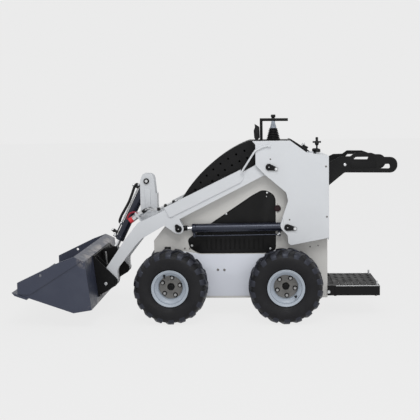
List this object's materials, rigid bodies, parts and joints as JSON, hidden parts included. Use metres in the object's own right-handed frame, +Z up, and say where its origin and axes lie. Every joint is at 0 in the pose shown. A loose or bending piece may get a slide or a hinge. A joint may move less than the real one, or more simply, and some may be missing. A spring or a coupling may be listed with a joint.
{
  "type": "stand-on compact skid steer loader",
  "caption": "Stand-on compact wheeled loader with lift arms, tilting bucket, lever console, operator guard and rear step.",
  "frame": {"origin": "on the ground under the middle of the machine's overall length and width, bucket rolled back and arms down", "axes": "+X forward, towards the bucket; +Y to the machine's left; +Z up"},
  "size_m": [2.365, 1.092, 1.283],
  "materials": {
    "white_paint": "satin white powder coat",
    "black_paint": "satin black powder coat",
    "bucket_paint": "semi-gloss slate blue-grey enamel",
    "wheel_paint": "silver-grey wheel enamel",
    "dark_paint": "dark grey enamel",
    "cylinder_paint": "gloss dark enamel",
    "chrome_rod": "hard chrome",
    "black_plastic": "moulded black plastic",
    "zinc_steel": "zinc-plated steel",
    "hose_rubber": "black hose rubber",
    "cap_red": "moulded dark red plastic",
    "tyre": "moulded black tyre rubber"
  },
  "bodies": {
    "chassis": {"bump_stops": "black_plastic", "console_panel": "black_paint", "control_bracket": "black_plastic", "engine_block": "dark_paint", "fuel_cap": "black_plastic", "grab_bar": "black_paint", "guard_plate_left": "black_paint", "guard_plate_right": "black_paint", "guard_tube": "black_paint", "hood_guard": "black_paint", "hydraulic_cap": "black_plastic", "joystick": "black_plastic", "lift_base_pin_left": "black_paint", "lift_base_pin_right": "black_paint", "lock_bar": "white_paint", "main_frame": "white_paint", "rear_panel": "white_paint", "step": "black_paint", "step_bracket": "black_paint", "tank_shelf": "white_paint", "tower_pin_left": "black_paint", "tower_pin_right": "black_paint", "tower_plate_left": "white_paint", "tower_plate_right": "white_paint", "vent_panel_left": "black_paint", "vent_panel_right": "black_paint", "wheel_motors": "dark_paint"},
    "arms": {"arm_cross": "white_paint", "arm_left": "white_paint", "arm_pipes": "zinc_steel", "arm_right": "white_paint", "aux_couplers": "zinc_steel", "coupler_caps": "cap_red", "lift_rod_pin_left": "black_paint", "lift_rod_pin_right": "black_paint", "tilt_base_pin": "black_paint"},
    "bucket_set": {"attach_levers": "black_paint", "attach_pin_left": "black_paint", "attach_pin_right": "black_paint", "attach_plate": "black_paint", "bucket": "bucket_paint", "cutting_edge": "bucket_paint", "tilt_rod_pin": "black_paint"},
    "lift_barrel_left": {"lift_barrel_left": "cylinder_paint"},
    "lift_barrel_right": {"lift_barrel_right": "cylinder_paint"},
    "lift_rod_left": {"lift_rod_left": "chrome_rod"},
    "lift_rod_right": {"lift_rod_right": "chrome_rod"},
    "wheel_front_left": {"rim_front_left": "wheel_paint", "tyre_front_left": "tyre"},
    "wheel_front_right": {"rim_front_right": "wheel_paint", "tyre_front_right": "tyre"},
    "wheel_rear_left": {"rim_rear_left": "wheel_paint", "tyre_rear_left": "tyre"},
    "wheel_rear_right": {"rim_rear_right": "wheel_paint", "tyre_rear_right": "tyre"},
    "tilt_barrel": {"tilt_barrel": "cylinder_paint", "tilt_hose": "hose_rubber"},
    "tilt_rod": {"tilt_rod": "chrome_rod"}
  },
  "joints": [
    {"name": "wheel_front_left_spin", "type": "hinge", "parent": "chassis", "child": "wheel_front_left", "pos_m": [0.224, 0.375, 0.2286], "axis": [0, 1, 0], "continuous": true},
    {"name": "wheel_front_right_spin", "type": "hinge", "parent": "chassis", "child": "wheel_front_right", "pos_m": [0.224, -0.375, 0.2286], "axis": [0, 1, 0], "continuous": true},
    {"name": "wheel_rear_left_spin", "type": "hinge", "parent": "chassis", "child": "wheel_rear_left", "pos_m": [-0.485, 0.375, 0.2286], "axis": [0, 1, 0], "continuous": true},
    {"name": "wheel_rear_right_spin", "type": "hinge", "parent": "chassis", "child": "wheel_rear_right", "pos_m": [-0.485, -0.375, 0.2286], "axis": [0, 1, 0], "continuous": true},
    {"name": "arm_lift", "type": "hinge", "parent": "chassis", "child": "arms", "pos_m": [-0.3895, 0, 0.956], "axis": [0, -1, 0], "range_deg": [0, 75]},
    {"name": "bucket_tilt", "type": "hinge", "parent": "arms", "child": "bucket_set", "pos_m": [0.6065, 0, 0.245], "axis": [0, 1, 0], "range_deg": [-3, 80]},
    {"name": "lift_cylinder_left_pivot", "type": "hinge", "parent": "chassis", "child": "lift_barrel_left", "pos_m": [-0.5015, 0.25, 0.58], "axis": [0, -1, 0], "range_deg": [0, 53.79]},
    {"name": "lift_cylinder_left_stroke", "type": "slide", "parent": "lift_barrel_left", "child": "lift_rod_left", "axis": [1, 0, -0.0088], "range_m": [0, 0.3583]},
    {"name": "lift_cylinder_right_pivot", "type": "hinge", "parent": "chassis", "child": "lift_barrel_right", "pos_m": [-0.5015, -0.25, 0.58], "axis": [0, -1, 0], "range_deg": [0, 53.79]},
    {"name": "lift_cylinder_right_stroke", "type": "slide", "parent": "lift_barrel_right", "child": "lift_rod_right", "axis": [1, 0, -0.0088], "range_m": [0, 0.3583]},
    {"name": "tilt_cylinder_pivot", "type": "hinge", "parent": "arms", "child": "tilt_barrel", "pos_m": [0.4075, 0, 0.863], "axis": [0, 1, 0], "range_deg": [-4.14, 0.44]},
    {"name": "tilt_cylinder_stroke", "type": "slide", "parent": "tilt_barrel", "child": "tilt_rod", "axis": [0.4456, 0, -0.8952], "range_m": [-0.0087, 0.2061]}
  ],
  "couplings": [
    {"joint": "lift_cylinder_left_pivot", "follows": "arm_lift", "ratio": 0.71058},
    {"joint": "lift_cylinder_left_stroke", "follows": "arm_lift", "m_per_rad": 0.27293},
    {"joint": "lift_cylinder_right_pivot", "follows": "arm_lift", "ratio": 0.71058},
    {"joint": "lift_cylinder_right_stroke", "follows": "arm_lift", "m_per_rad": 0.27293},
    {"joint": "tilt_cylinder_pivot", "follows": "bucket_tilt", "ratio": -0.047958},
    {"joint": "tilt_cylinder_stroke", "follows": "bucket_tilt", "m_per_rad": 0.14687}
  ]
}
